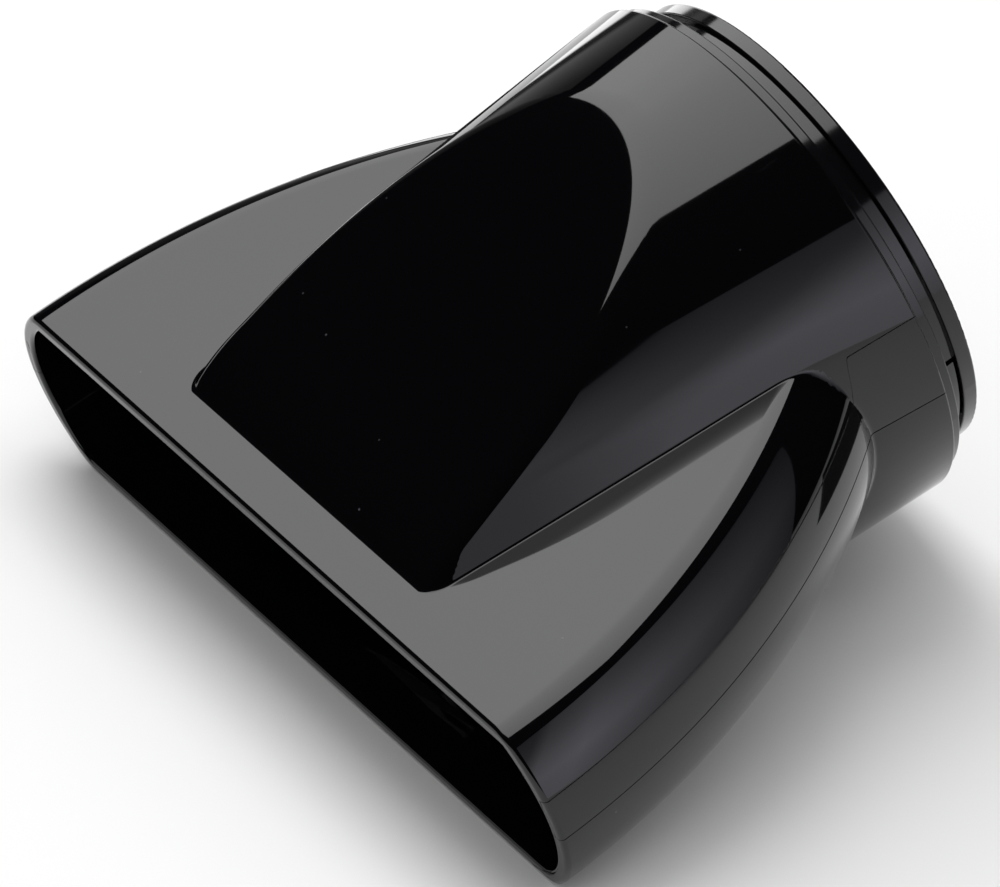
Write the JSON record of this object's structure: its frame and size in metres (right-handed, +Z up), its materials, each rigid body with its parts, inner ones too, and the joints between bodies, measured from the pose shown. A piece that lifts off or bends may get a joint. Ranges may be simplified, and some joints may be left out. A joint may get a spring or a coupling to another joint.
{
  "type": "hair dryer concentrator nozzle",
  "caption": "Concentrator nozzle for a compact hair dryer: a flat flared slot duct that grows into a round body, with a turning snap-in coupling ring at the rear.",
  "frame": {"origin": "on the table, under the centre of the object's bounding box, as the nozzle rests on its lower lip and the crest of its lower facet", "axes": "+Z up from the table; +X across the mouth, to the right as seen from in front of the mouth; +Y level, from the mouth towards the coupling end. The nozzle's own axis rises from the mouth to the coupling end at 19.7 degrees above +Y."},
  "size_m": [0.0798, 0.065, 0.0506],
  "materials": {
    "shell_gloss_black": "polished mould gloss, black",
    "strip_gloss_black": "gloss, black, slightly duller than the shells",
    "ring_satin_black": "semi gloss black, with fine turning-direction scuffs"
  },
  "bodies": {
    "nozzle_body": {"upper_shell": "shell_gloss_black", "lower_shell": "shell_gloss_black", "side_strip_right": "strip_gloss_black", "side_strip_left": "strip_gloss_black"},
    "coupling": {"coupling_ring": "ring_satin_black"},
    "latch_right": {"latch_tongue_right": "ring_satin_black"},
    "latch_left": {"latch_tongue_left": "ring_satin_black"}
  },
  "joints": [
    {"name": "ring_swivel", "type": "hinge", "parent": "nozzle_body", "child": "coupling", "pos_m": [0, 0.01813, 0.02616], "axis": [0, 0.9416, 0.3368], "continuous": true},
    {"name": "latch_flex_right", "type": "hinge", "parent": "coupling", "child": "latch_right", "pos_m": [0.02005, 0.02547, 0.01996], "axis": [0, -0.9416, -0.3368], "range_deg": [0, 3], "stiffness_Nm_per_rad": 0.05},
    {"name": "latch_flex_left", "type": "hinge", "parent": "coupling", "child": "latch_left", "pos_m": [-0.02005, 0.01987, 0.0356], "axis": [0, -0.9416, -0.3368], "range_deg": [0, 3], "stiffness_Nm_per_rad": 0.05}
  ]
}
